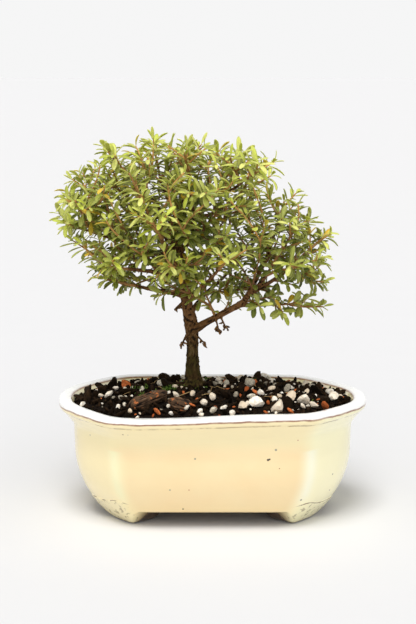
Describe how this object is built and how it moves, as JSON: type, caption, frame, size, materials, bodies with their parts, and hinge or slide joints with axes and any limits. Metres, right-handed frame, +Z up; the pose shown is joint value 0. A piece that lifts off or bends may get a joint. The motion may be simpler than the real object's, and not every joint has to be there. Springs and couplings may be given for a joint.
{
  "type": "bahama berry bonsai",
  "caption": "Small bonsai tree with a broad crown of opposite leaves, rooted in bark soil in a cream glazed footed pot with cut corners.",
  "frame": {"origin": "on the surface that the pot stands on, under the middle of the whole object's box", "axes": "+Z up along the trunk, +X along the pot's long side to the right, -Y towards the front"},
  "size_m": [0.2136, 0.1362, 0.2526],
  "materials": {
    "glaze": "glossy cream glaze, thin and brown at the rim's edge, with pinholes",
    "soil": "rough dark bark mix with white and grey grains",
    "bark": "rough fissured bark, brown with olive lichen",
    "leaf": "leathery leaf, satin, yellow-green at the tips and dark green inside",
    "screen": "matt dark mesh"
  },
  "bodies": {
    "root": {"pot": "glaze", "soil": "soil", "trunk": "bark", "drain_screen_left": "screen", "drain_screen_right": "screen", "bark_chip_1": "bark", "bark_chip_2": "bark", "shoot_01": "leaf", "shoot_02": "leaf", "shoot_03": "leaf", "shoot_04": "leaf", "shoot_05": "leaf", "shoot_06": "leaf", "shoot_07": "leaf", "shoot_08": "leaf", "shoot_09": "leaf", "shoot_10": "leaf", "shoot_11": "leaf", "shoot_12": "leaf", "shoot_13": "leaf", "shoot_14": "leaf", "shoot_15": "leaf", "shoot_16": "leaf", "shoot_17": "leaf", "shoot_18": "leaf", "shoot_19": "leaf", "shoot_20": "leaf", "shoot_21": "leaf", "shoot_22": "leaf", "shoot_23": "leaf", "shoot_24": "leaf", "shoot_25": "leaf", "shoot_26": "leaf", "shoot_27": "leaf", "shoot_28": "leaf", "shoot_29": "leaf", "shoot_30": "leaf", "shoot_31": "leaf", "shoot_32": "leaf", "shoot_33": "leaf", "shoot_34": "leaf", "shoot_35": "leaf", "shoot_36": "leaf", "shoot_37": "leaf", "shoot_38": "leaf", "shoot_39": "leaf"}
  },
  "joints": []
}
